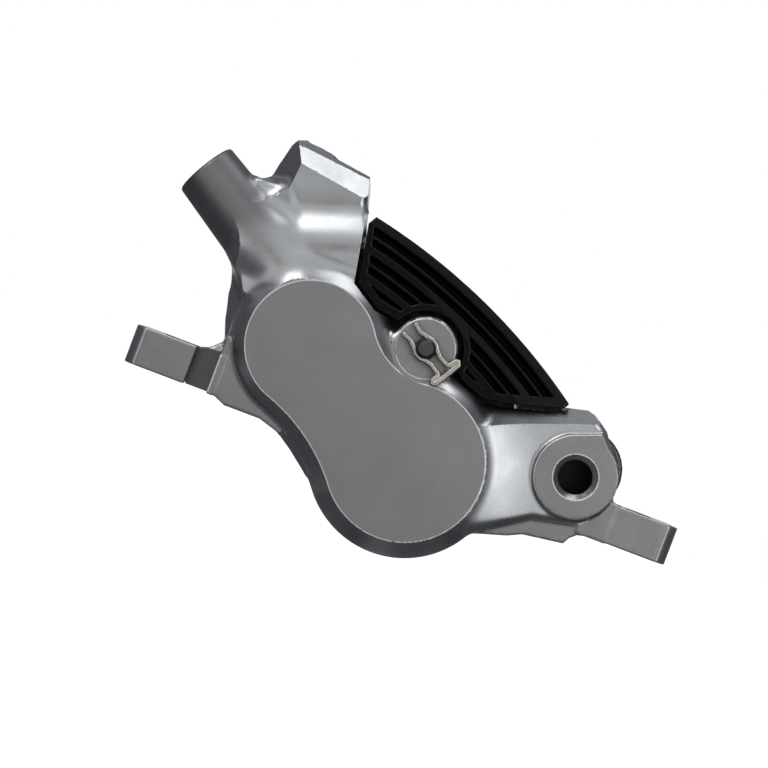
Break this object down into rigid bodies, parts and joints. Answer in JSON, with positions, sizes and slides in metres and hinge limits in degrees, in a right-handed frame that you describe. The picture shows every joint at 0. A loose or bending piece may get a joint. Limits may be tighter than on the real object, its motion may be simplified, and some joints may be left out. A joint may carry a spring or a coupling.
{
  "type": "bicycle disc brake caliper",
  "caption": "Post-mount hydraulic disc brake caliper with opposed pistons, finned pads on an axle with a wire clip, a hose port and a bleed tube.",
  "frame": {"origin": "midway between the two mounting slots, on the ears' seating faces and in the ears' mid-plane", "axes": "+X along the mounting line from the bleed end to the hose port end, +Z away from the posts that the ears are bolted to, +Y from the outboard side through the rotor to the inboard side"},
  "size_m": [0.0894, 0.0394, 0.0566],
  "materials": {
    "satin_aluminium": "bead-blasted flat face, polished walls",
    "dark_aluminium": "satin, anodised dark grey",
    "bolt_steel": "blackened",
    "seal_rubber": "smooth",
    "plug_steel": "plain",
    "piston_resin": "smooth ceramic-filled resin",
    "backplate_steel": "stamped",
    "friction_lining": "rough, speckled",
    "black_fins": "gloss black",
    "rivet_steel": "plain",
    "spring_steel": "bright stainless sheet",
    "axle_steel": "turned stainless",
    "nickel_wire": "nickel-plated, warm",
    "screw_steel": "plain"
  },
  "bodies": {
    "caliper": {"outboard_half": "satin_aluminium", "inboard_half": "dark_aluminium", "body_bolts": "bolt_steel", "crossover_ring": "seal_rubber", "passage_plugs": "plug_steel", "outboard_large_seal": "seal_rubber", "outboard_small_seal": "seal_rubber", "inboard_large_seal": "seal_rubber", "inboard_small_seal": "seal_rubber", "pad_spring": "spring_steel"},
    "outboard_pad": {"outboard_backplate": "backplate_steel", "outboard_friction": "friction_lining", "outboard_fins": "black_fins", "outboard_rivets": "rivet_steel"},
    "inboard_pad": {"inboard_backplate": "backplate_steel", "inboard_friction": "friction_lining", "inboard_fins": "black_fins", "inboard_rivets": "rivet_steel"},
    "outboard_large": {"outboard_large_piston": "piston_resin"},
    "outboard_small": {"outboard_small_piston": "piston_resin"},
    "inboard_large": {"inboard_large_piston": "piston_resin"},
    "inboard_small": {"inboard_small_piston": "piston_resin"},
    "axle": {"pad_axle": "axle_steel"},
    "retainer": {"snap_retainer": "nickel_wire"},
    "bleeder": {"bleed_screw": "screw_steel", "bleed_ring": "seal_rubber"}
  },
  "joints": [
    {"name": "outboard_pad_slide", "type": "slide", "parent": "caliper", "child": "outboard_pad", "axis": [0, 1, 0], "range_m": [0, 0.001], "deforming": ["pad_spring"]},
    {"name": "inboard_pad_slide", "type": "slide", "parent": "caliper", "child": "inboard_pad", "axis": [0, -1, 0], "range_m": [0, 0.001]},
    {"name": "outboard_large_slide", "type": "slide", "parent": "caliper", "child": "outboard_large", "axis": [0, 1, 0], "range_m": [0, 0.001]},
    {"name": "outboard_small_slide", "type": "slide", "parent": "caliper", "child": "outboard_small", "axis": [0, 1, 0], "range_m": [0, 0.001]},
    {"name": "inboard_large_slide", "type": "slide", "parent": "caliper", "child": "inboard_large", "axis": [0, -1, 0], "range_m": [0, 0.001]},
    {"name": "inboard_small_slide", "type": "slide", "parent": "caliper", "child": "inboard_small", "axis": [0, -1, 0], "range_m": [0, 0.001]},
    {"name": "axle_turn", "type": "hinge", "parent": "caliper", "child": "axle", "pos_m": [-0.0017, 0, 0.01791], "axis": [0, 1, 0], "continuous": true},
    {"name": "retainer_pull", "type": "slide", "parent": "caliper", "child": "retainer", "axis": [0.8647, 0, -0.5023], "range_m": [0, 0.009]},
    {"name": "bleeder_turn", "type": "hinge", "parent": "caliper", "child": "bleeder", "pos_m": [-0.03628, -0.0026, 0.02806], "axis": [0.8647, 0, -0.5023], "continuous": true}
  ],
  "couplings": [
    {"joint": "inboard_pad_slide", "follows": "outboard_pad_slide", "ratio": 1},
    {"joint": "outboard_large_slide", "follows": "outboard_pad_slide", "ratio": 1},
    {"joint": "outboard_small_slide", "follows": "outboard_pad_slide", "ratio": 1},
    {"joint": "inboard_large_slide", "follows": "outboard_pad_slide", "ratio": 1},
    {"joint": "inboard_small_slide", "follows": "outboard_pad_slide", "ratio": 1}
  ]
}
